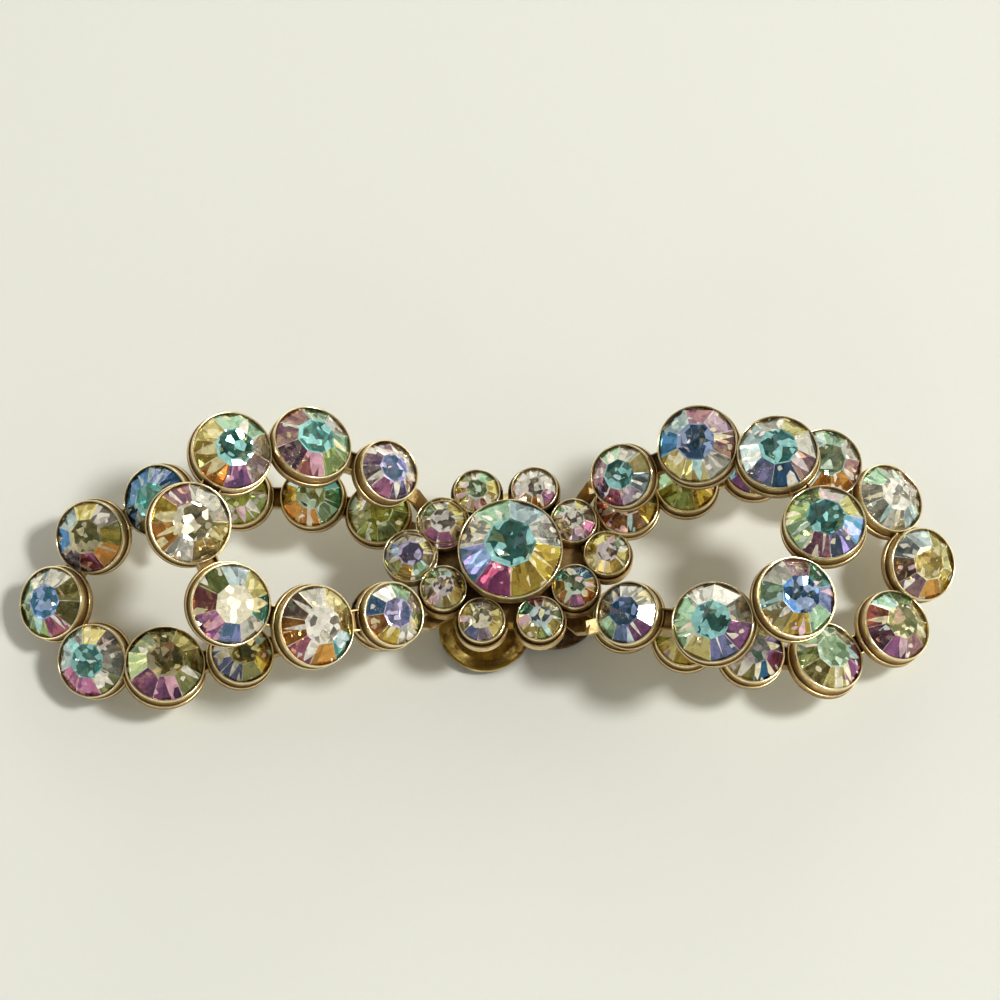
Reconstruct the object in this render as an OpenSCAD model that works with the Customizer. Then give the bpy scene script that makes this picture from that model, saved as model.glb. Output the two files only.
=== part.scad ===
/* [Stones] */
// Diameter of the stone in the middle of the flower
centre_d = 8.1; // [7.6:0.1:8.1]
// Diameter of the ten small stones round it
ring_d = 3.5; // [3.2:0.1:3.5]
// Diameter of the large stones, mostly in the upper loops
large_d = 6.2; // [5.8:0.1:6.2]
// Diameter of the medium stones at the ends of the lower loops
medium_d = 5.7; // [5.3:0.1:5.7]
// Diameter of the small stones in all four loops
small_d = 4.9; // [4.5:0.1:4.9]
// Height of a crown above its girdle, as a share of the diameter
crown_share = 0.22; // [0.18:0.01:0.22]
// Depth of the point below the girdle, as a share of the diameter
point_share = 0.38; // [0.34:0.01:0.38]
// Width of a table across its flats, as a share of the diameter
table_share = 0.48; // [0.44:0.01:0.56]

/* [Settings] */
// Space between a stone and the wall of its cup
seat_gap = 0.04; // [0.04:0.01:0.06]
// Thickness of the bezel round a stone
bezel_wall = 0.12; // [0.1:0.01:0.16]
// Height of the bezel's rim above the girdle
bezel_rise = 0.4; // [0.3:0.05:0.45]
// Depth of the tray's edge below the girdle
tray_drop = 1.15; // [1.05:0.05:1.2]
// Width of the tray's edge outside the bezel
tray_edge = 0.14; // [0.12:0.01:0.16]
// Height of the tray's edge
tray_rise = 0.5; // [0.4:0.05:0.55]
// Thickness of the stamped metal under necks and arms
sheet = 0.4; // [0.35:0.05:0.45]
// Width of a neck between two cups
neck_w = 1.7; // [1.5:0.1:1.8]
// Width of a lower loop's arm to the middle
arm_w = 1.5; // [1.4:0.1:1.6]
// Width of an upper loop's arm to the middle
upper_arm_w = 1.2; // [1.1:0.1:1.3]
// Height of the raised edges of a neck above its floor
neck_lip = 0.45; // [0.3:0.05:0.5]

/* [Flower] */
// Height of the small stones' girdles above the surface below
ring_z = 7.5; // [7.5:0.1:7.8]
// Height of the centre stone's girdle
centre_z = 9.1; // [9.1:0.1:9.4]
// Distance of the small stones from the middle
ring_r = 6.0; // [6:0.05:6.1]
// Distance of the two side stones from the middle
side_r = 7.95; // [7.95:0.05:8.05]
// Turn of the flower on its rivet
flower_turn = 0.6; // [0:0.1:2]

/* [Clip] */
// Width of the folded strip
strip_w = 8.5; // [8:0.1:9]
// Thickness of the clip's metal
strip_t = 0.5; // [0.45:0.05:0.5]
// Height of the folded clip
fold_h = 3.2; // [3.1:0.05:3.2]
// Reach of the fold behind the rivet
fold_y = 7.2; // [6.8:0.1:7.6]
// Reach of the upper leaf in front of the rivet
leaf_reach = 4.4; // [4.3:0.1:4.6]
// Angle by which the upper leaf bends down to the tongue
leaf_bend = 26; // [23:1:27]
// Radius of each round lobe of the tongue
lobe_r = 3.85; // [3.7:0.05:3.9]
// Turn of the clip on its rivet
clip_turn = 19; // [12:0.5:20]

/* [Hidden] */
$fn = 48;

// Columns of the four stone tables: right, back, up, lean to the right, lean to the back, diameter.
// Each loop runs from its inner back stone, out round the end, to its inner front stone.
UPPER_LEFT = [
    [-9.9, 6.3, 10.2, 30, 0, small_d],
    [-16.0, 8.0, 12.0, 20, 8, large_d],
    [-22.3, 6.8, 13.4, 16, -4, large_d],
    [-25.3, 0.3, 14.6, 16, -12, large_d],
    [-22.0, -6.2, 14.0, 23, -17, large_d],
    [-15.4, -7.3, 11.8, 30, -12, large_d],
    [-9.4, -5.7, 9.8, 27, -8, small_d],
];
UPPER_RIGHT = [
    [9.1, 6.0, 10.0, -20, -13, small_d],
    [15.1, 7.9, 12.0, -12, -7, large_d],
    [21.4, 6.7, 13.2, -3, 5, large_d],
    [24.9, 0.6, 13.6, 0, 7, large_d],
    [22.4, -5.5, 13.4, 14, -5, large_d],
    [16.0, -7.1, 12.0, -11, -6, large_d],
    [9.4, -5.7, 10.0, -21, -4, small_d],
];
LOWER_LEFT = [
    [-10.8, 4.4, 5.5, 0, -4, small_d],
    [-16.2, 5.6, 6.1, -4, -8, small_d],
    [-22.2, 5.7, 6.2, -6, -8, small_d],
    [-28.9, 5.4, 5.8, -24, -14, medium_d],
    [-34.4, 2.7, 4.6, -17, -18, medium_d],
    [-37.4, -2.7, 3.6, -27, -11, medium_d],
    [-33.9, -7.6, 3.5, -18, -17, medium_d],
    [-28.0, -8.2, 4.2, 8, 4, large_d],
    [-21.8, -7.3, 4.4, 13, 0, small_d],
    [-16.0, -5.6, 4.9, 4, 0, small_d],
    [-10.4, -4.3, 5.4, -4, 0, small_d],
];
LOWER_RIGHT = [
    [9.6, 5.2, 5.4, 0, -3, small_d],
    [14.5, 6.9, 5.8, 0, 0, small_d],
    [20.1, 8.3, 6.0, 2, 0, small_d],
    [26.0, 8.6, 5.8, 8, 0, medium_d],
    [31.2, 5.8, 5.0, 26, 4, medium_d],
    [33.7, 0.4, 4.3, 25, -12, medium_d],
    [31.3, -5.0, 4.5, 24, 2, medium_d],
    [25.6, -7.9, 5.3, 20, 8, medium_d],
    [19.5, -7.7, 6.0, 8, 0, small_d],
    [14.2, -6.4, 6.1, 0, 0, small_d],
    [9.3, -4.5, 5.4, 0, 0, small_d],
];

// The ring of the flower: angle round the middle and distance from it.
RING = concat(
    [for (a = [28, 69, 115, 152.5, 208, 248, 294, 332]) [a, ring_r]],
    [for (a = [0, 180]) [a, side_r]]
);

// Where each upper arm steps down between a lower cup and the flower, its inner point last.
ARM_STEPS = [
    [UPPER_LEFT[0], [-7.8, 5.4, 6.9], [-7.1, 5.0, 5.2]],
    [UPPER_LEFT[6], [-7.4, -5.4, 6.8], [-6.7, -5.0, 5.2]],
    [UPPER_RIGHT[0], [6.7, 6.1, 7.0], [6.0, 5.6, 5.2]],
    [UPPER_RIGHT[6], [6.4, -5.9, 7.0], [5.7, -5.4, 5.2]],
];

layer_gap = 0.05;
leaf_z = fold_h - strip_t;
lower_hub_z = fold_h + layer_gap;
hub_t = 0.45;
upper_hub_z = lower_hub_z + hub_t + layer_gap;
flower_hub_z = upper_hub_z + hub_t + layer_gap;
hub_r = 2.6;
upper_flat_r = 3.8;
lower_flat_r = 4.8;
rivet_r = 0.8;
rivet_hole_r = rivet_r + layer_gap;
rivet_head_r = 1.4;
rivet_head_h = 0.3;
head_gap = 0.03;

cup_floor = 0.3;
cup_base_r = 1.3;
point_gap = 0.12;
girdle_share = 0.03;
octagon = cos(22.5);

plate_z = ring_z - 1.55;
plate_t = 0.35;
plate_r = 5.2;
bar_w = 3.8;
tray_z = plate_z + 0.05;
tray_t = 0.25;
ring_cup_z = plate_z - 0.05;
foot_r = 2.7;
foot_top_r = 3.65;
tray_hole_r = foot_top_r - plate_t;
skirt_r = 5.9;
ring_wall = 0.1;
ring_rise = 0.3;
ring_lip_r = ring_d / 2 + 0.4;
ring_shift = [-0.1, 0.12, 0];
ring_lip_h = 0.95;

lobe_x = 3;
lobe_shift = -0.2;
lobe_y = -3;
lobe_floor_r = 2.8;
lobe_rim_z = 1.1;

function place(s) = [s[0], s[1], s[2]];
function size(s) = s[5];
// The way a leaning cup faces.
function facing(s) = [cos(s[4]) * sin(s[3]), sin(s[4]), cos(s[4]) * cos(s[3])];
// The point on a cup's axis at the height of its tray.
function tray_point(s) = place(s) - (tray_drop - sheet / 2) * facing(s);
function unit(v) = v / norm(v);
// A rigid frame at a, with X towards b and Z as near to up as it can be.
function towards(a, b, up) =
    let (x = unit(b - a), y = unit(cross(up, x)), z = cross(x, y))
    [[x[0], y[0], z[0], a[0]], [x[1], y[1], z[1], a[1]], [x[2], y[2], z[2], a[2]], [0, 0, 0, 1]];
function cup_depth(d) = point_share * d + point_gap + cup_floor;

// Puts its children in the frame of one row of a stone table.
module seated(s) {
    translate(place(s)) rotate([-s[4], s[3], 0]) children();
}

// A cut stone: octagonal table, eight crown facets, round girdle, eight facets to a point.
module stone(d, turn) {
    edge = d / 2 / octagon;
    girdle = girdle_share * d;
    intersection() {
        translate([0, 0, -d]) cylinder(h = 2 * d, r = d / 2);
        rotate([0, 0, turn]) rotate_extrude($fn = 8)
            polygon([
                [0, -point_share * d],
                [edge, -girdle],
                [edge, girdle],
                [table_share * edge, crown_share * d],
                [0, crown_share * d],
            ]);
    }
}

// The outside of a cup with the tray's raised edge round it, filled solid.
module cup_body(d) {
    outer = d / 2 + seat_gap + bezel_wall;
    rotate_extrude()
        polygon([
            [0, -cup_depth(d)],
            [cup_base_r, -cup_depth(d)],
            [outer - 0.15, -tray_drop],
            [outer + tray_edge, -tray_drop],
            [outer + tray_edge, tray_rise - tray_drop],
            [outer, tray_rise - tray_drop],
            [outer, bezel_rise],
            [0, bezel_rise],
        ]);
}

// The hollow of a cup: a straight wall round the girdle, then a funnel to the floor.
module cup_hollow(d) {
    inner = d / 2 + seat_gap;
    rotate_extrude()
        polygon([
            [0, cup_floor - cup_depth(d)],
            [cup_base_r - 0.35, cup_floor - cup_depth(d)],
            [inner - 0.35, -tray_drop + 0.1],
            [inner - 0.2, -0.56],
            [inner, -0.36],
            [inner, d],
            [0, d],
        ]);
}

// A stamped channel from a to b: a floor, and where lip is above 0 a thin raised edge along each side.
module channel(a, b, up, w, lip) {
    reach = norm(b - a) + sheet;
    edge = bezel_wall;
    multmatrix(towards(a, b, up)) translate([-sheet / 2, 0, -sheet / 2]) {
        translate([0, -w / 2, 0]) cube([reach, w, sheet]);
        if (lip > 0)
            for (side = [-1, 1])
                translate([0, side * (w - edge) / 2 - edge / 2, 0]) cube([reach, edge, sheet + lip]);
    }
}

// Cups and the necks between them, along one loop.
module loop_metal(stones) {
    for (s = stones) seated(s) cup_body(size(s));
    for (i = [0:len(stones) - 2])
        channel(
            tray_point(stones[i]), tray_point(stones[i + 1]),
            facing(stones[i]) + facing(stones[i + 1]), neck_w, neck_lip
        );
}

module loop_hollows(stones) {
    for (s = stones) seated(s) cup_hollow(size(s));
}

// A point level with a hub's sheet, towards p and r from the middle.
function hub_point(p, r, hub_z) =
    let (flat = unit([p[0], p[1], 0])) [r * flat[0], r * flat[1], hub_z + hub_t - sheet / 2];

module hub(hub_z) {
    translate([0, 0, hub_z]) cylinder(h = hub_t, r = hub_r);
}

module rivet_hole() {
    cylinder(h = 20, r = rivet_hole_r);
}

// The arm of a lower loop: flat over the clip, then up to the tray of its inner cup.
module lower_arm(s) {
    cup = tray_point(s);
    bend = hub_point(cup, lower_flat_r, lower_hub_z);
    channel(hub_point(cup, 1.5, lower_hub_z), bend, [0, 0, 1], arm_w, 0);
    channel(bend, cup, [0, 0, 1], arm_w, 0);
}

// The arm of an upper loop: flat, out under the flower, then up in a step between two cups.
module upper_arm(s, step, inner) {
    cup = tray_point(s);
    bend = hub_point(inner, upper_flat_r, upper_hub_z);
    channel(hub_point(inner, 1.5, upper_hub_z), bend, [0, 0, 1], upper_arm_w, 0);
    channel(bend, inner, [0, 0, 1], upper_arm_w, 0);
    channel(inner, step, [0, 0, 1], upper_arm_w, 0);
    channel(step, cup, [0, 0, 1], upper_arm_w, 0);
}

module lower_frame() {
    color("darkgoldenrod") difference() {
        union() {
            loop_metal(LOWER_LEFT);
            loop_metal(LOWER_RIGHT);
            hub(lower_hub_z);
            for (loop = [LOWER_LEFT, LOWER_RIGHT]) {
                lower_arm(loop[0]);
                lower_arm(loop[len(loop) - 1]);
            }
            end_tab(LOWER_LEFT[3]);
        }
        loop_hollows(LOWER_LEFT);
        loop_hollows(LOWER_RIGHT);
        rivet_hole();
    }
}

// A short square tab that the stamping leaves below one cup.
module end_tab(s) {
    tab_w = 0.9;
    tab_l = 1.1;
    seated(s) translate([-0.2, -size(s) / 2 - tab_l, -tray_drop - 0.35]) cube([tab_w, tab_l + 0.4, 0.6]);
}

module upper_frame() {
    color("goldenrod") difference() {
        union() {
            loop_metal(UPPER_LEFT);
            loop_metal(UPPER_RIGHT);
            hub(upper_hub_z);
            for (arm = ARM_STEPS) upper_arm(arm[0], arm[1], arm[2]);
        }
        loop_hollows(UPPER_LEFT);
        loop_hollows(UPPER_RIGHT);
        rivet_hole();
    }
}

module at_ring() {
    translate(ring_shift) for (p = RING) rotate([0, 0, p[0]]) translate([p[1], 0, 0]) children();
}

module ring_cup_body() {
    outer = ring_d / 2 + seat_gap + ring_wall;
    rotate_extrude()
        polygon([
            [0, ring_cup_z],
            [outer, ring_cup_z],
            [outer, ring_z + ring_rise],
            [0, ring_z + ring_rise],
        ]);
}

module ring_cup_hollow() {
    inner = ring_d / 2 + seat_gap;
    rotate_extrude()
        polygon([
            [0, ring_cup_z + 0.16],
            [0.5, ring_cup_z + 0.16],
            [inner - 0.2, ring_z - 0.35],
            [inner, ring_z - 0.25],
            [inner, ring_z + 2],
            [0, ring_z + 2],
        ]);
}

// The centre cup stands on a dished hub that the rivet holds.
module centre_cup() {
    inner = centre_d / 2 + seat_gap;
    outer = inner + bezel_wall;
    rotate_extrude()
        polygon([
            [rivet_hole_r, flower_hub_z],
            [foot_r, flower_hub_z],
            [foot_top_r - plate_t, plate_z],
            [foot_top_r, plate_z + plate_t],
            [outer - 0.3, centre_z - 1.1],
            [outer, centre_z - 0.95],
            [outer, centre_z + bezel_rise],
            [inner, centre_z + bezel_rise],
            [inner, centre_z - 0.45],
            [inner - 0.2, centre_z - 0.7],
            [foot_top_r - hub_t, plate_z + plate_t],
            [foot_r - plate_t, flower_hub_z + hub_t],
            [rivet_hole_r, flower_hub_z + hub_t],
        ]);
}

// The flower's outline from above, for a given radius round each small cup.
module flower_outline(r) {
    at_ring() circle(r = r);
}

// The small cups stand in a tray whose raised edge follows the flower's outline.
module flower_tray() {
    translate([0, 0, tray_z]) difference() {
        linear_extrude(ring_lip_h) union() {
            flower_outline(ring_lip_r);
            circle(r = plate_r);
            square([2 * side_r, bar_w], center = true);
        }
        translate([0, 0, tray_t]) linear_extrude(ring_lip_h) union() {
            flower_outline(ring_lip_r - tray_edge);
            circle(r = skirt_r);
        }
        translate([0, 0, -tray_t]) cylinder(h = ring_lip_h, r = tray_hole_r);
    }
}

module flower_frame() {
    color("gold") rotate([0, 0, flower_turn]) {
        centre_cup();
        difference() {
            union() {
                at_ring() ring_cup_body();
                flower_tray();
            }
            at_ring() ring_cup_hollow();
        }
    }
}

module rivet() {
    shank_bottom = leaf_z - head_gap;
    shank_top = flower_hub_z + hub_t + head_gap;
    color("tan") rotate_extrude()
        polygon([
            [0, shank_bottom - rivet_head_h],
            [rivet_head_r, shank_bottom - rivet_head_h],
            [rivet_head_r, shank_bottom],
            [rivet_r, shank_bottom],
            [rivet_r, shank_top],
            [rivet_head_r, shank_top],
            [rivet_head_r, shank_top + rivet_head_h],
            [0, shank_top + rivet_head_h],
        ]);
}

// Side view of the folded strip: back along Y, up along Z.
module strip_profile() {
    bend_y = fold_y - fold_h / 2;
    front = -1.8;
    translate([front, leaf_z]) square([bend_y - front, strip_t]);
    translate([lobe_y, 0]) square([bend_y - lobe_y, strip_t]);
    translate([bend_y, fold_h / 2]) difference() {
        circle(r = fold_h / 2);
        circle(r = fold_h / 2 - strip_t);
        translate([-fold_h, -fold_h]) square([fold_h, 2 * fold_h]);
    }
    translate([front, fold_h]) rotate(leaf_bend)
        translate([-leaf_reach, -strip_t]) square([leaf_reach, strip_t]);
}

// Outline of the strip from above, round at the front end of its upper leaf.
module strip_outline() {
    round_y = strip_w / 2 - leaf_reach;
    translate([-strip_w / 2, round_y]) square([strip_w, fold_y + 1 - round_y]);
    translate([0, round_y]) circle(r = strip_w / 2);
}

module lobe_dish() {
    rotate_extrude()
        polygon([
            [0, 0],
            [lobe_floor_r, 0],
            [lobe_r, lobe_rim_z - 0.4],
            [lobe_r, lobe_rim_z],
            [lobe_r - 0.2, lobe_rim_z],
            [lobe_floor_r - 0.1, strip_t - 0.05],
            [0, strip_t - 0.05],
        ]);
}

// One folded strip: the upper leaf is riveted on, and the tongue below ends in two dished lobes.
module clip() {
    color("peru") rotate([0, 0, clip_turn]) difference() {
        union() {
            intersection() {
                rotate([90, 0, 90]) translate([0, 0, -strip_w]) linear_extrude(2 * strip_w) strip_profile();
                linear_extrude(2 * fold_h) strip_outline();
            }
            for (side = [-1, 1])
                difference() {
                    translate([lobe_shift + side * lobe_x, lobe_y, 0]) lobe_dish();
                    translate([lobe_shift - side * lobe_x, lobe_y, strip_t - 0.05])
                        cylinder(h = fold_h, r = lobe_r - 0.45);
                    translate([-strip_w / 2 + 0.3, lobe_y + 0.6, strip_t - 0.05])
                        cube([strip_w - 0.6, fold_y, fold_h]);
                }
        }
        translate([0, 0, 1]) cylinder(h = fold_h, r = rivet_hole_r);
    }
}

module one_stone(s, i) {
    color("lavender") seated(s) stone(size(s), 17 * i);
}

// Each node of one loop's stones, by name.
module loop_stones(name, stones) {
    for (i = [0:len(stones) - 1])
        one_stone(stones[i], i);
}

module centre_stone() {
    color("lightcyan") translate([0, 0, centre_z]) stone(centre_d, flower_turn);
}

module ring_stones() {
    color("lavender") rotate([0, 0, flower_turn]) at_ring() translate([0, 0, ring_z]) stone(ring_d, 10);
}

clip();
lower_frame();
upper_frame();
flower_frame();
rivet();
centre_stone();
ring_stones();
loop_stones("upper_left_stone_", UPPER_LEFT);
loop_stones("upper_right_stone_", UPPER_RIGHT);
loop_stones("lower_left_stone_", LOWER_LEFT);
loop_stones("lower_right_stone_", LOWER_RIGHT);
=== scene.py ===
import math

import bpy
import numpy as np
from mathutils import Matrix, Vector


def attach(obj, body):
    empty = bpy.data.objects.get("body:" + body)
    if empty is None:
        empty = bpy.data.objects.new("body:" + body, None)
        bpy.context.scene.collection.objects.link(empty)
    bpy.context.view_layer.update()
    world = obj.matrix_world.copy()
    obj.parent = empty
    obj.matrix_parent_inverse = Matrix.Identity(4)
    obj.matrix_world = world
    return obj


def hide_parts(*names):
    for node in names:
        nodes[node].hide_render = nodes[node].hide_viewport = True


mm = 0.001

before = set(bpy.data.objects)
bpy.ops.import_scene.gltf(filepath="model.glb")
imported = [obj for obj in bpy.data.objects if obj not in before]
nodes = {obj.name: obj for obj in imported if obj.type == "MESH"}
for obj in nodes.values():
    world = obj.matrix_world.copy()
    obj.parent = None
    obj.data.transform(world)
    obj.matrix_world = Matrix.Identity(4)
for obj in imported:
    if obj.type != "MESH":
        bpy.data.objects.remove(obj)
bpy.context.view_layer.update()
print("frame loaded:", len(nodes), "nodes")


# Node maths: a wire wraps a socket, and an expression on wires adds its Math nodes.
class Wire:
    def __init__(self, tree, socket):
        self.tree = tree
        self.socket = socket

    def math(self, kind, *others):
        node = self.tree.nodes.new("ShaderNodeMath")
        node.operation = kind
        for slot, value in zip(node.inputs, (self,) + others):
            if isinstance(value, Wire):
                self.tree.links.new(value.socket, slot)
            else:
                slot.default_value = value
        return Wire(self.tree, node.outputs[0])

    def __add__(self, other):
        return self.math("ADD", other)

    def __radd__(self, other):
        return self.math("ADD", other)

    def __sub__(self, other):
        return self.math("SUBTRACT", other)

    def __rsub__(self, other):
        return (self * -1.0).math("ADD", other)

    def __mul__(self, other):
        return self.math("MULTIPLY", other)

    def __rmul__(self, other):
        return self.math("MULTIPLY", other)

    def __truediv__(self, other):
        return self.math("DIVIDE", other)

    # Another output of the same node.
    def sibling(self, out):
        return Wire(self.tree, self.socket.node.outputs[out])

    def clamped(self):
        return self.math("MINIMUM", 1.0).math("MAXIMUM", 0.0)

    # 0 below low, 1 above high, straight between.
    def between(self, low, high):
        return ((self - low) / (high - low)).clamped()

    # low where the wire is 0, high where it is 1.
    def spanning(self, low, high):
        return self * (high - low) + low


class Nodes:
    def __init__(self, tree):
        self.tree = tree

    # Any node: its type, its settings first, then its sockets by name or by place.
    def add(self, kind, settings=None, sockets=None, out=0):
        node = self.tree.nodes.new("ShaderNode" + kind)
        for key, value in (settings or {}).items():
            if key == "stops":
                self.fillRamp(node.color_ramp.elements, value)
            else:
                setattr(node, key, value)
        for key, value in (sockets or {}).items():
            self.feed(node.inputs[key], value)
        return Wire(self.tree, node.outputs[out])

    # A new ramp has two stops already.
    def fillRamp(self, ramp, stops):
        for i, (place, colour) in enumerate(stops):
            stop = ramp[i] if i < 2 else ramp.new(place)
            stop.position = place
            stop.color = (*colour, 1.0)

    def feed(self, slot, value):
        if isinstance(value, Wire):
            self.tree.links.new(value.socket, slot)
        elif slot.type == "RGBA" and len(value) == 3:
            slot.default_value = (*value, 1.0)
        else:
            slot.default_value = value

    # Colour a where the factor is 0, b where it is 1. A Mix node has its colours at 6 and 7, out at 2.
    def mix(self, factor, a, b):
        return self.add("Mix", {"data_type": "RGBA", "clamp_factor": True}, {0: factor, 6: a, 7: b}, out=2)

    # The plain number a where the share is 0, b where it is 1. A Mix node has its numbers at 2 and 3.
    def blend(self, share, a, b):
        return self.add("Mix", {"clamp_factor": True}, {0: share, 2: a, 3: b})

    def noise(self, size, detail, roughness=0.6):
        return self.add("TexNoise", None, {
            "Vector": self.place(), "Scale": 1.0 / size, "Detail": detail, "Roughness": roughness})

    # Random colours in straight-edged cells.
    def voronoi(self, size, where):
        return self.add("TexVoronoi", None, {"Vector": where, "Scale": 1.0 / size}, out="Color")

    def place(self):
        return self.add("TexCoord", out="Object")

    def attribute(self, name, out="Color"):
        return self.add("Attribute", {"attribute_name": name}, out=out)

    def scaled(self, vector, amount):
        return self.add("VectorMath", {"operation": "SCALE"}, {0: vector, "Scale": amount})

    # The dot product of two directions.
    def dot(self, a, b):
        return self.add("VectorMath", {"operation": "DOT_PRODUCT"}, {0: a, 1: b}, out="Value")

    # The surface's own normal, leaning another way in each cell.
    def leaning(self, cells, amount):
        lean = self.add("VectorMath", {"operation": "SUBTRACT"}, {0: cells, 1: (0.5, 0.5, 0.5)})
        normal = self.add("NewGeometry", out="Normal")
        leant = self.add("VectorMath", {"operation": "ADD"}, {0: normal, 1: self.scaled(lean, amount)})
        return self.add("VectorMath", {"operation": "NORMALIZE"}, {0: leant})


class Material(Nodes):
    def __init__(self, name):
        self.material = bpy.data.materials.new(name)
        self.material.use_nodes = True
        super().__init__(self.material.node_tree)
        self.shader = self.tree.nodes["Principled BSDF"]

    def set(self, **values):
        for key, value in values.items():
            self.feed(self.shader.inputs[key.replace("_", " ")], value)
        return self

    # Lays a second surface over the first, by a share from 0 to 1.
    def cover(self, share, **values):
        over = self.tree.nodes.new("ShaderNodeBsdfPrincipled")
        for key, value in values.items():
            self.feed(over.inputs[key.replace("_", " ")], value)
        both = self.tree.nodes.new("ShaderNodeMixShader")
        self.feed(both.inputs[0], share)
        self.tree.links.new(self.shader.outputs[0], both.inputs[1])
        self.tree.links.new(over.outputs[0], both.inputs[2])
        self.tree.links.new(both.outputs[0], self.tree.nodes["Material Output"].inputs["Surface"])
        return self


# Makes a mesh piece from points in millimetres and faces, and puts it on the body.
def makePiece(name, points, faces, materials, values, flat=False, slots=None):
    mesh = bpy.data.meshes.new(name)
    corners = faces.shape[1]
    mesh.vertices.add(len(points))
    mesh.vertices.foreach_set("co", (points * mm).ravel())
    mesh.loops.add(faces.size)
    mesh.loops.foreach_set("vertex_index", faces.astype(np.int32).ravel())
    mesh.polygons.add(len(faces))
    mesh.polygons.foreach_set("loop_start", np.arange(len(faces), dtype=np.int32) * corners)
    mesh.polygons.foreach_set("loop_total", np.full(len(faces), corners, np.int32))
    mesh.update(calc_edges=True)
    for material in materials:
        mesh.materials.append(material)
    if slots is not None:
        mesh.polygons.foreach_set("material_index", slots.astype(np.int32))
    mesh.polygons.foreach_set("use_smooth", np.full(len(faces), not flat))
    for key, (kind, domain, data) in values.items():
        layer = mesh.attributes.new(key, kind, domain)
        field = {"FLOAT_COLOR": "color", "FLOAT_VECTOR": "vector", "FLOAT": "value"}[kind]
        layer.data.foreach_set(field, data.astype(np.float32).ravel())
    piece = bpy.data.objects.new(name, mesh)
    bpy.context.scene.collection.objects.link(piece)
    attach(piece, "root")
    return piece


# Quads between neighbouring rows and columns of a grid, closed round the columns and, if asked, the rows.
def gridFaces(rows, columns, closedRows=False):
    r, c = np.meshgrid(np.arange(rows if closedRows else rows - 1), np.arange(columns), indexing="ij")
    r, c = r.ravel(), c.ravel()
    row, nextRow = r * columns, (r + 1) % rows * columns
    nextColumn = (c + 1) % columns
    return np.stack([row + c, row + nextColumn, nextRow + nextColumn, nextRow + c], 1)


# How a stone is cut: heights as shares of its diameter, the rest as shares of its radius.
stoneCut = {
    "crown": 0.22, "point": 0.38, "girdle": 0.03,  # heights over and under the girdle
    "table": 0.48,  # half the table's width across its flats
    "tableRing": 0.5,  # the ring inside the table, as a share of the table
    "pavilionRing": 0.45,  # the ring half way down the pavilion
    "tipRing": 0.02,  # the last ring above the point
}
# In millimetres: how far under the highest point a stone's table is looked for, and the tables of the ring's
# stones, and how far from its middle a small stone reaches.
seatReading = {"table": 0.03, "ring": 0.05, "reach": 2.1}


def nodePoints(name):
    mesh = nodes[name].data
    points = np.empty(len(mesh.vertices) * 3)
    mesh.vertices.foreach_get("co", points)
    return np.unique(np.round(points.reshape(-1, 3) / mm, 4), axis=0)


# The direction in which points spread least, turned upwards.
def flatAxis(points):
    axis = np.linalg.svd(points - points.mean(0))[2][2]
    return axis * np.sign(axis[2])


# Where a stone's cup stands, read from the stone: its table is the highest flat octagon, whose middle gives
# the axis, and the widest radius about that axis gives the diameter. The phase is the angle of a corner.
def seatOf(points):
    axis = flatAxis(points)
    height = (points - points.mean(0)) @ axis
    table = points[height > height.max() - seatReading["table"]]
    top = table.mean(0)
    axis = flatAxis(table)
    spread = points - top
    diameter = round(2 * np.linalg.norm(spread - np.outer(spread @ axis, axis), axis=1).max(), 2)
    right = np.cross([0, 1, 0], axis)
    right = right / np.linalg.norm(right)
    back = np.cross(axis, right)
    corner = table[0] - top
    return {"middle": top - stoneCut["crown"] * diameter * axis, "up": axis, "right": right, "back": back,
            "diameter": diameter, "phase": math.atan2(corner @ back, corner @ right)}


# The ten small stones of the flower are one node, so its points are parted by nearness first.
def partedPoints(points, reach):
    groups = []
    high = points[points[:, 2] > points[:, 2].max() - seatReading["ring"]]
    while len(high):
        near = np.linalg.norm(high[:, :2] - high[0, :2], axis=1) < reach
        centre = high[near].mean(0)
        groups.append(points[np.linalg.norm(points[:, :2] - centre[:2], axis=1) < reach])
        high = high[~near]
    return groups


loopSizes = {"upper_left": 7, "upper_right": 7, "lower_left": 11, "lower_right": 11}
loopNames = {loop: ["%s_stone_%d" % (loop, i + 1) for i in range(count)] for loop, count in loopSizes.items()}
seats = {name: seatOf(nodePoints(name)) for names in loopNames.values() for name in names}
centreSeat = seatOf(nodePoints("centre_stone"))
ringSeats = [seatOf(group) for group in partedPoints(nodePoints("ring_stones"), seatReading["reach"])]
ringSeats.sort(key=lambda s: math.atan2(s["middle"][1], s["middle"][0]))
print("seats read:", len(seats), "in the loops,", len(ringSeats), "in the ring, sizes",
      sorted(set(s["diameter"] for s in seats.values())))


# Puts local points, millimetres in the frame of a seat, into the row frame.
def fromSeat(seat, local):
    return seat["middle"] + local @ np.stack([seat["right"], seat["back"], seat["up"]])


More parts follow.
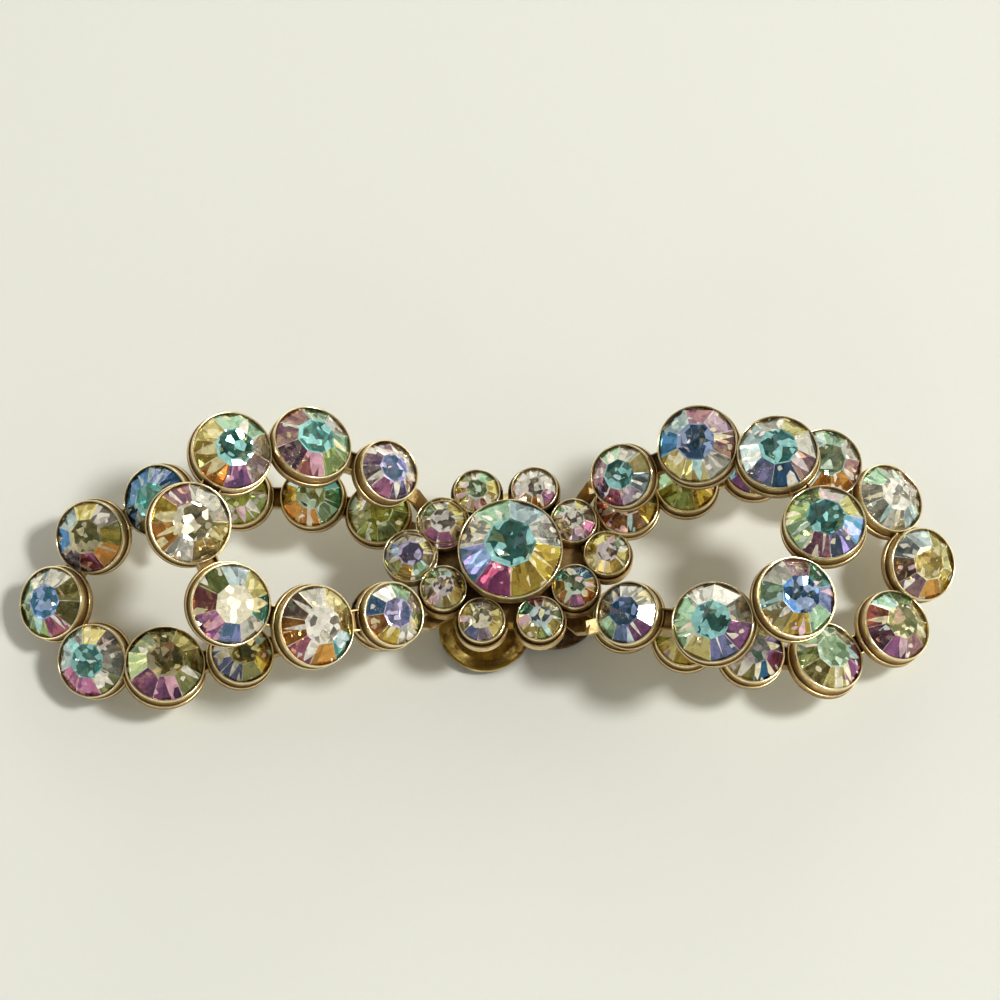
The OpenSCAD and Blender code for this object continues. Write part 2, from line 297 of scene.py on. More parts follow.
# Colours of the iridescent coat, by letter: white, amber white, silver, yellow, gold, orange, russet, pink,
# mauve, violet, blue, light blue, teal, cyan, navy, pale green, fern, dark olive, brown, quartz, crimson.
coat = {
    "W": (1.0, 0.96, 0.82), "A": (1.0, 0.92, 0.58), "S": (0.86, 0.83, 0.7), "Y": (1.0, 0.88, 0.4),
    "G": (1.0, 0.7, 0.15), "O": (0.95, 0.38, 0.1), "R": (0.72, 0.26, 0.2), "P": (0.85, 0.36, 0.52),
    "M": (0.58, 0.25, 0.46), "V": (0.42, 0.34, 0.7), "B": (0.2, 0.42, 0.9), "L": (0.6, 0.8, 0.88),
    "T": (0.12, 0.6, 0.6), "C": (0.3, 0.85, 0.85), "N": (0.06, 0.16, 0.42), "E": (0.55, 0.85, 0.6),
    "F": (0.55, 0.68, 0.24), "D": (0.38, 0.34, 0.15), "K": (0.5, 0.35, 0.22), "Q": (0.82, 0.7, 0.7),
    "X": (0.95, 0.2, 0.34),
}

# For each stone the eight crown facets from the back one clockwise, then the table, and for some stones the
# colours of the glints painted in the eight facets.
stoneColours = {
    "upper_left_stone_1": "SSQVPQQQ V WWWWPWWW", "upper_left_stone_2": "EWEFRMKK T WWYWPPWC",
    "upper_left_stone_3": "EESQMOGY T YWWWPYYY", "upper_left_stone_4": "SSYASOGK A WYYWWYYW",
    "upper_left_stone_5": "LYCSVMRF A WYYWPPYW", "upper_left_stone_6": "SYYCOROK S YYYLWWWW",
    "upper_left_stone_7": "ESFSGOBW V WWYWYYWW",
    "upper_right_stone_1": "SYLQPVQE T WYWWWPWW", "upper_right_stone_2": "KQKSYYBL B",
    "upper_right_stone_3": "SYSKNVLL T WYYQWWWW", "upper_right_stone_4": "SYVVPEFE T",
    "upper_right_stone_5": "QCVEGYES B", "upper_right_stone_6": "SSSMVYEE T",
    "upper_right_stone_7": "SSSMVESL N WYWWLYWW",
    "lower_left_stone_1": "SFFEFDSD F", "lower_left_stone_2": "STTEOOGL E",
    "lower_left_stone_3": "FSDFFSFD F", "lower_left_stone_4": "VBBDDNBB T LLVLLLLL",
    "lower_left_stone_5": "YSDOMVBL D YWWYWWWW", "lower_left_stone_6": "LSYDRFFE N",
    "lower_left_stone_7": "YSSDPPLL T YWWWPWWC", "lower_left_stone_8": "DYDDMMDD D YYWWPWWW",
    "lower_left_stone_9": "DYGDVVSD D", "lower_left_stone_10": "LSKOGDLB S",
    "lower_left_stone_11": "VSEKQVMV S",
    "lower_right_stone_1": "KDGKKRKD K", "lower_right_stone_2": "DKOGFFED F",
    "lower_right_stone_3": "VMGYYMVN M", "lower_right_stone_4": "ESKOOKSL E",
    "lower_right_stone_5": "SWSLSWSE S", "lower_right_stone_6": "LYYGOKKL Y",
    "lower_right_stone_7": "EYYKMMRE D", "lower_right_stone_8": "EWPMYYEE E",
    "lower_right_stone_9": "DVMNDSKD V", "lower_right_stone_10": "DSGOGYFK G",
    "lower_right_stone_11": "SEFDDGSL S",
    "centre_stone": "LWGGXVSE T LWYYPBYW",
}
# The ring's stones, from the one at the lower left round to the one at the left.
ringColours = [
    "ESYYYSSF Q", "SYYYQVSY A", "PWEYFYYC L", "LBYOPOYC E", "YEYYYYYY Q",
    "WYSPQWSE W", "SSSPOSSW S", "SEYYPYYF E", "SYYSPPSE W", "WYSEYEVS V",
]

# The coated glass of the crowns.
glass = {
    "ior": 1.57, "filmIor": 2.2, "roughness": 0.012,
    # The film's thickness in nm, by letter.
    "films": {"WSL": 60, "A": 70, "BNV": 164, "TC": 177, "EFD": 190, "YGO": 212, "RPMQKX": 257},
    "pale": 0.25,  # how far the glass itself is paler than its coat
    "depth": 1.2,  # exponent that deepens the coat's colours
    # Where glints are painted, the coat reflects more, is more like paint and has a brightness of its own.
    "sheen": 0.46, "tableSheen": 0.3, "glintSheen": 0.5,  # shares of light that the coat reflects
    "sheenRoughness": 0.05, "lean": 0.3,  # the coat's roughness, and how far its cells lean
    "pearl": 0.14, "glintPearl": 0.6,  # how far the coat is like paint and not like metal
    "tone": (0.85, 1.6), "glintTone": (0.65, 1.15),  # brightness from the darkest cell to the lightest
    "cells": 0.4, "sparks": 0.14,  # sizes of the random cells
    "unit": 2.75,  # millimetres of a stone that count as 1 for the sparks
    "rays": (0.7, 0.5),  # how much of the long cells' pattern lies across and along a facet
    "tableUnit": 0.27,  # the share of a stone's diameter that counts as 1 for the table's cells
    "sectorStep": 3.7, "apart": 50,  # how far apart facets and stones lie in the patterns
    # Cells over these thresholds get painted glints: shards, flashes on tables and sparks.
    "shardFrom": 0.93, "tableShards": 0.12, "sparkFrom": 0.965,  # cells over this are bright
    "deepBelow": 0.26, "deep": 0.42,  # cells under this are deep, and how bright they are
    # Painted glints have soft edges, and painted highlight lines run along the facets' edges.
    "edge": 0.05,  # how soft a gleam's edge is
    "facetLine": (0.93, 0.97), "tableLine": (0.88, 0.94),  # where the bright lines along the edges begin
}
# The glints painted in the facets of a stone.
gleams = {
    "letters": "WWYYAECP",  # colours where none are given
    "givenPale": 0.2, "randomPale": 0.45, "tablePale": 0.35,  # shares of white in the gleams
    "middle": (-0.7, 0.7), "width": (-1.4, 0.9),  # of a wedge, across its facet
    "facing": [4.5, 5.5, 6.5], "crescent": 0.5,  # the side of the table's crescent, and its greatest depth
    "busy": 0.36, "paleTable": 0.57,  # more flashes on tables whose darkest channel is over this
}
# The foil behind the glass, mixed from the colours in front of it and silver.
foilLook = {
    "own": 0.36, "across": 0.12, "table": 0.24, "silver": (0.53, 0.47, 0.33),
    "spread": 0.4, "darkest": 0.03, "roughness": 0.04, "cells": 0.4, "lean": 0.22,
}

facetCount = 8
stepsPerFacet = 6
halfFacet = stepsPerFacet // 2
facetAngle = 2 * np.pi / facetCount
# The rings of a stone's grid, by how far out they lie in their facet, from 0 at its inner edge to 1 at its
# outer one. The last value is for the table's middle and the point, which come after the rings.
ringOutward = np.array([stoneCut["tableRing"], 1.0, 0.5, 1.0, 1.0, stoneCut["pavilionRing"], 0.0, 0.0])
ringCount = len(ringOutward) - 1
# A band is the faces from a ring to the next, and has the number of its first ring. These are the first bands
# of a stone's parts.
bands = {"table": 0, "crown": 1, "pavilion": 4}


# A cut stone on a grid of angle and ring: a line inside the table, the table's octagon, a line half way down
# the crown, the girdle's upper and lower edge, a line half way down the pavilion, and the point. The radius
# of a facet's straight edge is its apothem over the cosine of the angle from the facet's middle, and on the
# girdle's circle a facet's plane stands off by the part of the radius it lacks. The pavilion is turned by
# half a facet against the crown. Also gives the angle of each step's middle.
def cutStone(seat):
    radius = seat["diameter"] / 2
    count = facetCount * stepsPerFacet
    angle = np.arange(count) / count * 2 * np.pi
    off = (angle % facetAngle) - facetAngle / 2
    offBelow = ((angle + facetAngle / 2) % facetAngle) - facetAngle / 2
    table = stoneCut["table"] * radius
    low, tip = stoneCut["pavilionRing"], stoneCut["tipRing"]
    girdle, crown, point = (stoneCut[part] * seat["diameter"] for part in ("girdle", "crown", "point"))
    up = girdle + radius * (1 - np.cos(off)) / (radius - table) * (crown - girdle)
    down = -girdle - radius * (1 - np.cos(offBelow)) / radius * (point - girdle)
    ones = np.ones_like(angle)
    rings = [(table * stoneCut["tableRing"] / np.cos(off), crown * ones),
             (table / np.cos(off), crown * ones),
             ((table + radius) / 2 / np.cos(off), (crown + girdle) / 2 * ones),
             (radius * ones, up),
             (radius * ones, down),
             (low * radius / np.cos(offBelow), (-girdle - (1 - low) * (point - girdle)) * ones),
             (tip * radius * ones, (tip * girdle - (1 - tip) * point) * ones)]
    turned = angle + seat["phase"]
    local = [np.stack([r * np.cos(turned), r * np.sin(turned), z], 1) for r, z in rings]
    local = np.vstack(local + [[[0, 0, crown], [0, 0, -point]]])
    return local, turned + np.pi / count, count


# Triangles of all the faces of one stone, with the band that each lies in and the step round it.
def stoneTriangles(n):
    body = gridFaces(ringCount, n)[:, ::-1]
    c = np.arange(n)
    top = np.stack([np.full(n, ringCount * n), c, (c + 1) % n], 1)
    lastRing = (ringCount - 1) * n
    bottom = np.stack([np.full(n, ringCount * n + 1), lastRing + (c + 1) % n, lastRing + c], 1)
    triangles = np.vstack([body[:, [0, 1, 2]], body[:, [0, 2, 3]], top, bottom])
    band = np.tile(np.repeat(np.arange(ringCount - 1), n), 2)
    step = np.tile(c, 2 * (ringCount - 1))
    ends = [np.full(n, bands["table"]), np.full(n, ringCount - 1)]
    return triangles, np.concatenate([band, *ends]), np.concatenate([step, c, c])


# The facet that a step lies in, on the crown or on the pavilion, whose facets are turned by half a facet.
def facetOf(step, onPavilion):
    return (step + halfFacet * onPavilion) // stepsPerFacet % facetCount


# Where a triangle's corners lie in their facet: across from -1 to 1, and outwards from 0 at its inner edge to
# 1 at its outer one. The table counts as eight facets from its middle, and the last value marks it.
def facetPlaces(triangles, band, step, n):
    ring, column = triangles // n, triangles % n
    shift = np.where(band >= bands["pavilion"], halfFacet, 0)
    off = ((step + shift) % stepsPerFacet)[:, None] + (column - step[:, None] + 1) % n - 1
    across = np.tan((off / stepsPerFacet - 0.5) * facetAngle) / np.tan(facetAngle / 2)
    across = np.where(ring == ringCount, 0.0, across)
    crownEdge = (band == bands["crown"])[:, None] & (ring == bands["crown"])
    outward = np.where(crownEdge, 0.0, ringOutward[ring])
    isTable = np.repeat((band == bands["table"])[:, None], 3, axis=1)
    return np.stack([across, outward, isTable], 2)


# The colours of each face: a crown facet has the colour of the sector it faces, counted clockwise from the
# back, the table the last letter, and a pavilion facet the colour of the crown facet it lies under.
def stoneTints(letters, band, step, heading, rng):
    sectors, table = letters.split()[:2]
    middle = heading[0] + facetOf(step, False) * facetAngle + facetAngle / 2
    sector = np.round((np.pi / 2 - middle) / facetAngle).astype(int) % facetCount
    palette = np.array([coat[c] for c in sectors]) ** glass["depth"]
    own = palette[sector]
    across = palette[(sector + facetCount // 2) % facetCount]
    tableTint = np.array(coat[table]) ** glass["depth"]
    crownTint = np.where((band == bands["table"])[:, None], tableTint, own)
    light = 1 + foilLook["spread"] * rng.standard_normal(facetCount)[facetOf(step, True)]
    foilTint = foilLook["own"] * own + foilLook["across"] * across + foilLook["table"] * tableTint
    foilTint = (foilTint + np.array(foilLook["silver"])) * light[:, None]
    tint = np.where((band >= bands["pavilion"])[:, None], foilTint, crownTint)
    return np.clip(tint, foilLook["darkest"], 1.0), sector


# The glints painted in a facet: the colour of its painted bright shards, and for its painted wedge, which
# points outwards, a middle place across the facet and a half width. On the table the half width is the depth
# of the painted crescent glint along its edge, which lies on the side away from the light. The last value
# adds painted flashes to a pale table.
def stoneGleams(letters, band, sector, rng):
    parts = letters.split()
    given = len(parts) > 2
    onTable = band == bands["table"]
    chosen = parts[2] if given else "".join(rng.choice(list(gleams["letters"]), facetCount))
    light = np.array([coat[c] for c in chosen])[sector]
    light = light + (1 - light) * gleams["givenPale" if given else "randomPale"]
    vivid = np.array(coat[parts[1]]) / max(coat[parts[1]])
    light = np.where(onTable[:, None], vivid + (1 - vivid) * gleams["tablePale"], light)
    middle = rng.uniform(*gleams["middle"], facetCount)[sector]
    width = np.clip(rng.uniform(*gleams["width"], facetCount), 0, 1)[sector]
    facing = rng.choice(gleams["facing"])
    crescent = np.clip(np.cos((sector - facing) * facetAngle), 0, 1) * rng.uniform(0.0, gleams["crescent"])
    busy = gleams["busy"] * onTable * (min(coat[parts[1]]) > gleams["paleTable"])
    return light, np.column_stack([middle, np.where(onTable, crescent, width), busy])


# Clear glass under a coat that reflects a share of the light in its own colour. Long cells that narrow
# inwards are painted glint shards or deep shards, a painted glint wedge lies in a facet, and a painted
# crescent glint along the table's edge. The facets' edges carry painted highlights as broken lines. Where
# glints are painted the coat takes their colour, reflects more and is less like metal.
def crownMaterial(name, film):
    m = Material(name)
    facet = m.add("SeparateXYZ", None, {0: m.attribute("inFacet", "Vector")})
    outward, isTable = facet.sibling("Y"), facet.sibling("Z")
    gleam = m.add("SeparateXYZ", None, {0: m.attribute("gleam", "Vector")})
    width, busy = gleam.sibling("Y"), gleam.sibling("Z")
    cellColour = m.voronoi(glass["cells"], m.attribute("ray", "Vector"))
    cells = m.add("SeparateColor", None, {0: cellColour})
    sparks = m.add("SeparateColor", None, {0: m.voronoi(glass["sparks"], m.attribute("inStone", "Vector"))})

    # The masks of the painted glints: wedges in facets, crescents on tables, shards, sparks and broken lines
    # along the edges.
    wedge = ((1.0 - outward) * width - (facet - gleam).math("ABSOLUTE")).between(0.0, glass["edge"])
    crescent = (outward - 1.0 + width).between(0.0, glass["edge"])
    shard = (cells + glass["tableShards"] * isTable + busy).math("GREATER_THAN", glass["shardFrom"])
    spark = sparks.math("GREATER_THAN", glass["sparkFrom"])
    facetLine = facet.math("ABSOLUTE").between(*glass["facetLine"])
    outline = m.blend(isTable, facetLine, outward.between(*glass["tableLine"])) * cells.sibling("Green")
    paintedGlint = m.blend(isTable, wedge, crescent)
    for gleaming in (shard, spark, outline):
        paintedGlint = paintedGlint.math("MAXIMUM", gleaming)
    deep = cells.math("LESS_THAN", glass["deepBelow"]) * (1.0 - paintedGlint)

    tint = m.attribute("tint")
    colour = m.mix(deep, tint, m.mix(glass["deep"], (0.0, 0.0, 0.0), tint))
    colour = m.scaled(colour, sparks.sibling("Green").spanning(*glass["tone"]))
    # The colour of the painted glints, which takes the place of the coat's colour where they lie.
    light = m.scaled(m.attribute("paintedGlint"), sparks.sibling("Blue").spanning(*glass["glintTone"]))
    m.set(Base_Color=m.mix(glass["pale"], tint, (1.0, 1.0, 1.0)), Roughness=glass["roughness"],
          IOR=glass["ior"], Transmission_Weight=1.0, Thin_Film_Thickness=float(film),
          Thin_Film_IOR=glass["filmIor"])
    share = m.blend(isTable, glass["sheen"], glass["tableSheen"]) + paintedGlint * glass["glintSheen"]
    metallic = (1.0 - glass["pearl"]) * (1.0 - glass["glintPearl"] * paintedGlint)
    m.cover(share, Base_Color=m.mix(paintedGlint, colour, light), Metallic=metallic,
            Roughness=glass["sheenRoughness"], Normal=m.leaning(cellColour, glass["lean"]))
    return m.material


# The foil is silver with the coat's colours in it, broken into straight-edged cells that each lean a little.
def foilMaterial():
    m = Material("foil behind the glass")
    cells = m.voronoi(foilLook["cells"], m.attribute("inStone", "Vector"))
    m.set(Base_Color=m.attribute("tint"), Metallic=1.0, Roughness=foilLook["roughness"],
          Normal=m.leaning(cells, foilLook["lean"]))
    return m.material


crowns = [crownMaterial("coated glass %d nm" % film, film) for film in glass["films"].values()]
crownOf = {letter: i for i, letters in enumerate(glass["films"]) for letter in letters}
foil = foilMaterial()
markKinds = {"tint": "FLOAT_COLOR", "paintedGlint": "FLOAT_COLOR", "gleam": "FLOAT_VECTOR",
             "inFacet": "FLOAT_VECTOR", "inStone": "FLOAT_VECTOR", "ray": "FLOAT_VECTOR"}


# Where the long cells are read: places in the facet stretched along it, and on the table plain places.
def rayPlaces(corners, places, band, sector, diameter):
    size = diameter / (2 * glass["unit"])
    across, along = glass["rays"]
    inFacet = places * (across * size, along * size, 0.0) + glass["sectorStep"] * sector[:, None, None]
    onTable = (band == bands["table"])[:, None, None]
    return np.where(onTable, corners / (glass["tableUnit"] * diameter), inFacet)


# Which material each face has: the film of its letter on the crown and the table, and foil below.
def crownSlots(letters, band, sector):
    sectors, table = letters.split()[:2]
    onCrown = np.array([crownOf[c] for c in sectors])[sector]
    slots = np.where(band < bands["pavilion"], onCrown, len(crowns))
    return np.where(band == bands["table"], crownOf[table], slots)


# One piece of one or more cut stones in place of a node, with the marks that its materials read.
def makeStones(name, seatList, letterList, replaced, seed):
    points, triangles, slots = [], [], []
    marks = {key: [] for key in markKinds}
    rng = np.random.default_rng(seed)
    pointCount = 0
    for seat, letters in zip(seatList, letterList):
        local, heading, n = cutStone(seat)
        t, band, step = stoneTriangles(n)
        tint, sector = stoneTints(letters, band, step, heading, rng)
        light, gleam = stoneGleams(letters, band, sector, rng)
        places = facetPlaces(t, band, step, n)
        facet = np.where(band == bands["table"], facetCount, facetOf(step, band >= bands["pavilion"]))
        apart = rng.uniform(0, glass["apart"], (facetCount + 1, 3))[facet][:, None]
        inStone = local[t] / glass["unit"] + apart
        rays = rayPlaces(local[t], places, band, sector, seat["diameter"]) + apart
        for key, rows in (("inFacet", places), ("inStone", inStone), ("ray", rays)):
            marks[key].append(rows.reshape(-1, 3))
        for key, rows in (("tint", tint), ("paintedGlint", light), ("gleam", gleam)):
            marks[key].append(np.repeat(rows, 3, axis=0))
        points.append(fromSeat(seat, local))
        triangles.append(t + pointCount)
        pointCount += len(local)
        slots.append(crownSlots(letters, band, sector))
    values = {}
    for key, kind in markKinds.items():
        rows = np.vstack(marks[key])
        if kind == "FLOAT_COLOR":
            rows = np.column_stack([rows, np.ones(len(rows))])
        values[key] = (kind, "CORNER", rows)
    piece = makePiece(name, np.vstack(points), np.vstack(triangles), crowns + [foil],
                      values, flat=True, slots=np.concatenate(slots))
    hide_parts(replaced)


# The first seed of the loops' stones, and the seeds of the flower's.
stoneSeeds = {"loops": 10, "centre": 3, "ring": 4}
for i, (name, seat) in enumerate(seats.items()):
    makeStones(name + "_cut", [seat], [stoneColours[name]], name, stoneSeeds["loops"] + i)
centreColours = [stoneColours["centre_stone"]]
makeStones("centre_stone_cut", [centreSeat], centreColours, "centre_stone", stoneSeeds["centre"])
makeStones("ring_stones_cut", ringSeats, ringColours, "ring_stones", stoneSeeds["ring"])
print("stones cut")


# Colours of the brass from clean to dirty or in painted shade. Sizes are in millimetres.
giltStops = [(0.0, (1.0, 0.91, 0.6)), (0.3, (0.88, 0.71, 0.35)), (0.6, (0.42, 0.26, 0.09)),
             (1.0, (0.09, 0.045, 0.02))]
clipStops = [(0.0, (0.9, 0.74, 0.3)), (0.35, (0.6, 0.44, 0.12)), (0.65, (0.22, 0.12, 0.04)),
             (1.0, (0.05, 0.025, 0.012))]
frameLook = {"cloud": 2.0, "grain": 0.35, "tarnish": 0.32, "patch": 0.9, "edge": 0.06, "stops": giltStops}
rimLook = {"cloud": 1.4, "grain": 0.25, "tarnish": 0.0, "patch": 0.5, "edge": 0.0, "stops": giltStops}
clipLook = {"cloud": 1.6, "grain": 0.3, "tarnish": 0.25, "patch": 2.2, "edge": 0.08, "stops": clipStops}
# What all the brass shares: the grain in its dirt and its dents, and what dirt and painted shade do to its
# shine.
brassLook = {"grain": 0.5, "dents": 0.25, "dentDepth": 0.02, "dullness": 0.35, "roughness": (0.14, 0.5)}
# Tarnish and painted shade in the hollows, up to a reach, and the painted shade on the clip's right lobe,
# which grows between two X.
tarnishAndShadeLook = {"reach": 1.4, "frames": 0.8, "clip": 1.1, "lobe": 0.5, "lobeFrom": 1.5, "lobeTo": 4.0}


# Gilt brass: pale gold where it is rubbed, brown where tarnish sits or shade is painted. The tarnish grows
# with a mask, which also paints shade.
def giltMaterial(name, look, mask):
    m = Material(name)
    cloud = m.noise(look["cloud"] * mm, 4.0)
    grain = m.noise(look["grain"] * mm, 3.0)
    dirtAndShade = look["tarnish"] + (cloud - 0.5) * look["patch"] + (grain - 0.5) * brassLook["grain"]
    # The mask adds painted shade to the tarnish; both darken the colour and dull the shine.
    dirtAndShade = (dirtAndShade + mask(m)).clamped()
    shade = m.add("ValToRGB", {"stops": look["stops"]}, {0: dirtAndShade})
    normal = m.add("Bump", None, {
        "Strength": brassLook["dents"], "Distance": brassLook["dentDepth"] * mm, "Height": grain})
    if look["edge"]:
        normal = m.add("Bevel", {"samples": 4}, {"Radius": look["edge"] * mm, "Normal": normal})
    m.set(Base_Color=shade, Metallic=1.0 - brassLook["dullness"] * dirtAndShade,
          Roughness=dirtAndShade.spanning(*brassLook["roughness"]), Normal=normal)
    return m.material


# Tarnish and painted shade where walls stand close round a point.
def tarnishAndShadeInHollows(m, amount):
    openness = m.add("AmbientOcclusion", {"samples": 6}, {"Distance": tarnishAndShadeLook["reach"] * mm}, out="AO")
    return (1.0 - openness) * amount


# The frames darken in their hollows, as tarnish and painted shade.
def frameTarnishAndShade(m):
    return tarnishAndShadeInHollows(m, tarnishAndShadeLook["frames"])


# The clip is painted darker towards its right lobe, as painted shade, since that lobe lies in the flower's
# shade; its hollows get tarnish and painted shade.
def clipTarnishAndShade(m):
    x = m.add("SeparateXYZ", None, {0: m.place()})
    # Painted shade grows across the right lobe.
    lobe = x.between(tarnishAndShadeLook["lobeFrom"] * mm, tarnishAndShadeLook["lobeTo"] * mm)
    return tarnishAndShadeInHollows(m, tarnishAndShadeLook["clip"]) + tarnishAndShadeLook["lobe"] * lobe


# The rims carry their dirt and painted shade in their mesh.
def rimPaintedShade(m):
    return m.attribute("dirtAndShade", "Fac")


# The frames and the clip darken with tarnish and painted shade, the rims by the painted shade in their mesh.
frameGilt = giltMaterial("gilt brass of the frames", frameLook, frameTarnishAndShade)
clipBrass = giltMaterial("brass of the clip, tarnished and painted with shade", clipLook, clipTarnishAndShade)
rimGilt = giltMaterial("gilt brass of the rims", rimLook, rimPaintedShade)
for name in ("lower_frame", "upper_frame", "flower_frame", "rivet", "clip"):
    mesh = nodes[name].data
    mesh.materials.clear()
    mesh.materials.append(clipBrass if name == "clip" else frameGilt)
print("metal coloured")


# Rims: each row of a profile is the radius past the stone's, the height over the girdle and the dirt with
# painted shade, in mm.
# The shade is painted dark against the stone, down the outer walls and under the trays; the bezels' rubbed
# tops stay clean.
bezelProfile = [
    (0.028, -0.3, 1.0), (0.028, 0.1, 1.0), (0.03, 0.28, 0.8), (0.042, 0.38, 0.3), (0.07, 0.42, 0.0),
    (0.12, 0.425, 0.0), (0.158, 0.4, 0.0), (0.175, 0.34, 0.2), (0.178, 0.15, 0.5), (0.178, -0.6, 0.85),
    (0.1, -0.6, 0.9),
]
trayProfile = [
    (0.14, -0.68, 1.0), (0.185, -0.655, 1.0), (0.2, -0.62, 0.7), (0.23, -0.6, 0.35), (0.28, -0.6, 0.25),
    (0.31, -0.63, 0.35), (0.32, -0.7, 0.55), (0.32, -1.1, 0.85), (0.28, -1.18, 0.8), (0.14, -1.18, 0.9),
]
# The small cups' walls are lower, and thinner on their outside, which is the rows from a radius on.
ringRim = {"thinner": 0.02, "outside": 0.1, "lower": 0.1}
ringProfile = [(r - ringRim["thinner"] if r >= ringRim["outside"] else r, z - ringRim["lower"], dirtAndShade)
               for r, z, dirtAndShade in bezelProfile]
# The wander of a rim: waves round the cup and their shares, and the heights between which it grows.
rimWaves = {"radius": ((2, 0.5), (5, 0.5)), "height": ((2, 1.0), (7, 0.5)), "span": (-0.2, 0.3)}
# For each kind of rim: steps round, how far it wanders, and its seed.
rimPlan = {"bezels": (72, 0.012, 21), "trays": (72, 0.008, 22), "ring": (48, 0.01, 23),
           "centre": (96, 0.01, 24)}


# A sum of sines, each a number of times round, by its share.
def wave(angle, waves, phases):
    return sum(share * np.sin(times * angle + phase) for (times, share), phase in zip(waves, phases))


# Rims carried round cups: a closed profile of radius past the stone's and height over the girdle, turned
# round each cup's axis. The radius and height wander a little, as a wall pressed over by hand does.
def lathedRims(name, seatList, profile, steps, wander, seed):
    rng = np.random.default_rng(seed)
    r, z, dirtAndShade = np.array(profile[::-1]).T
    angle = np.arange(steps) / steps * 2 * np.pi
    foot, rim = rimWaves["span"]
    grown = np.clip((z - foot) / (rim - foot), 0, 1)[:, None]
    points, faces = [], []
    for i, seat in enumerate(seatList):
        phases = rng.uniform(0, 2 * np.pi, 4)
        out = wander * wave(angle, rimWaves["radius"], phases[:2])
        up = wander * wave(angle, rimWaves["height"], phases[2:])
        radius = seat["diameter"] / 2 + r[:, None] + out * grown
        height = z[:, None] + up * grown
        local = np.stack([radius * np.cos(angle), radius * np.sin(angle), height], 2).reshape(-1, 3)
        points.append(fromSeat(seat, local))
        faces.append(gridFaces(len(r), steps, True) + i * len(r) * steps)
    # Each point takes the dirt and painted shade of its profile row.
    dirtAndShadeRows = np.tile(np.repeat(dirtAndShade, steps), len(seatList))
    makePiece(name, np.vstack(points), np.vstack(faces), [rimGilt],
              {"dirtAndShade": ("FLOAT", "POINT", dirtAndShadeRows)})


for layer in ("upper", "lower"):
    rimmed = [seats[name] for side in ("left", "right") for name in loopNames[layer + "_" + side]]
    lathedRims(layer + "_bezels", rimmed, bezelProfile, *rimPlan["bezels"])
    lathedRims(layer + "_tray_edges", rimmed, trayProfile, *rimPlan["trays"])
lathedRims("ring_bezels", ringSeats, ringProfile, *rimPlan["ring"])
lathedRims("centre_bezel", [centreSeat], bezelProfile, *rimPlan["centre"])
print("rims turned")


# Surface, light and camera: the floor's side and the key light in metres, the rest in millimetres.
floorLook = {"side": 8.0, "drop": 0.02, "pale": (0.8, 0.828, 0.797), "dark": (0.76, 0.787, 0.757),
             "speck": 0.6, "speckFrom": 0.35, "speckShare": 0.5, "roughness": 0.8}
keyLight = {"place": (0.56, 0.02, 0.83), "size": 0.17, "power": 6.45, "colour": (1.0, 0.965, 0.9)}
view = {"target": (-0.82, 4.86, 7.5), "elevation": 70.0, "distance": 260.0, "width": 81.5, "sensor": 36.0,
        "nearest": 10.0}

half = floorLook["side"] / 2
floorMesh = bpy.data.meshes.new("floor")
floorCorners = [(-half, -half, 0), (half, -half, 0), (half, half, 0), (-half, half, 0)]
floorMesh.from_pydata(floorCorners, [], [(0, 1, 2, 3)])
floor = bpy.data.objects.new("floor", floorMesh)
floor.location.z = -floorLook["drop"] * mm
bpy.context.scene.collection.objects.link(floor)
paper = Material("pale paper")
speck = (paper.noise(floorLook["speck"] * mm, 4.0) - floorLook["speckFrom"]) * floorLook["speckShare"]
paper.set(Base_Color=paper.mix(speck, floorLook["pale"], floorLook["dark"]), Roughness=floorLook["roughness"])
floorMesh.materials.append(paper.material)

target = Vector(view["target"]) * mm
tilt = math.radians(view["elevation"])
toCamera = Vector((0, -math.cos(tilt), math.sin(tilt)))
cameraData = bpy.data.cameras.new("camera")
cameraData.sensor_width = view["sensor"]
cameraData.lens = view["sensor"] * view["distance"] / view["width"]
cameraData.clip_start = view["nearest"] * mm
camera = bpy.data.objects.new("camera", cameraData)
camera.location = target + toCamera * view["distance"] * mm
camera.rotation_euler = (-toCamera).to_track_quat("-Z", "Y").to_euler()
bpy.context.scene.collection.objects.link(camera)
bpy.context.scene.camera = camera

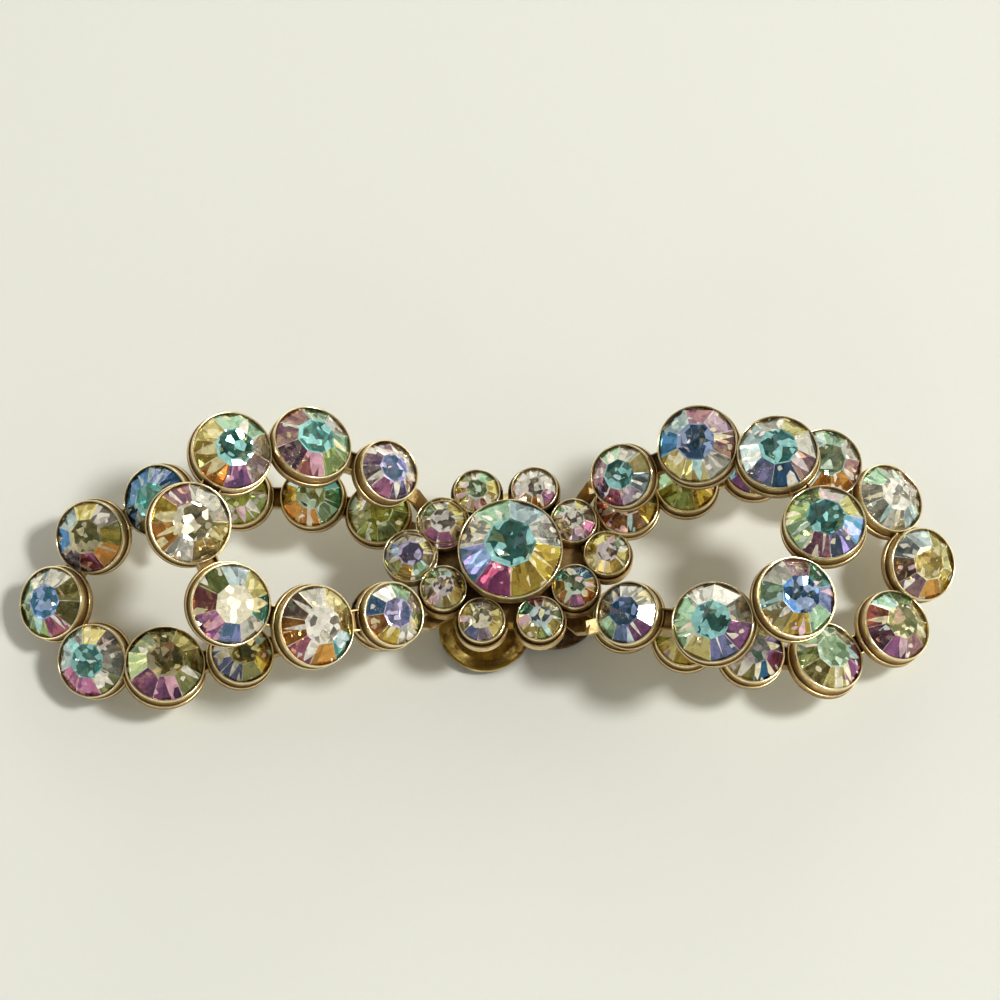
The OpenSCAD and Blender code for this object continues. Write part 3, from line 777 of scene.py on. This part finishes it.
key = bpy.data.lights.new("key", "AREA")
key.shape = "DISK"
key.size = keyLight["size"]
key.energy = keyLight["power"]
key.color = keyLight["colour"]
lamp = bpy.data.objects.new("key", key)
lamp.location = keyLight["place"]
lamp.rotation_euler = (Vector(keyLight["place"]) - target).to_track_quat("Z", "Y").to_euler()
bpy.context.scene.collection.objects.link(lamp)

# The room: brighter towards the back and low down, a dark ceiling, a dark patch where the camera is held, and
# windows. The spans are of the cosine to the back, to the zenith and to the camera. A window is its direction
# in degrees off the zenith to the right and to the back, its half width in degrees, and its strength.
room = {
    "front": 0.6, "back": 1.21, "backSpan": (-0.7, 0.9),
    "ceiling": 0.12, "ceilingSpan": (0.35, 0.8),
    "camera": 0.12, "cameraSpan": (0.93, 0.97),
    "windows": ((39, -9, 9, 3.0), (-64, 28, 8, 2.2), (20, 66, 9, 2.6), (-25, -58, 7, 2.2), (72, 30, 8, 2.4)),
    "windowEdge": 0.2, "colour": (1.0, 0.965, 0.86),
}


def roomDirection(right, back):
    return Vector((math.tan(math.radians(right)), math.tan(math.radians(back)), 1.0)).normalized()


world = bpy.data.worlds.new("room")
bpy.context.scene.world = world
world.use_nodes = True
sky = Nodes(world.node_tree)
way = sky.add("TexCoord", out="Generated")
toBack = sky.dot(way, (0.0, 1.0, 0.0)).between(*room["backSpan"])
upward = sky.dot(way, (0.0, 0.0, 1.0)).between(*room["ceilingSpan"])
glow = toBack.spanning(room["front"], room["back"]) * (1.0 - upward) + room["ceiling"] * upward
patch = sky.dot(way, tuple(toCamera)).between(*room["cameraSpan"])
glow = glow * (1.0 - patch) + room["camera"] * patch
for right, back, spread, strength in room["windows"]:
    edge = math.cos(math.radians(spread))
    window = sky.dot(way, tuple(roomDirection(right, back)))
    glow = glow + strength * window.between(edge, edge + room["windowEdge"] * (1 - edge))
background = world.node_tree.nodes["Background"]
sky.feed(background.inputs["Color"], room["colour"])
sky.feed(background.inputs["Strength"], glow)
bpy.context.scene.view_settings.view_transform = "Standard"
print("stage set")
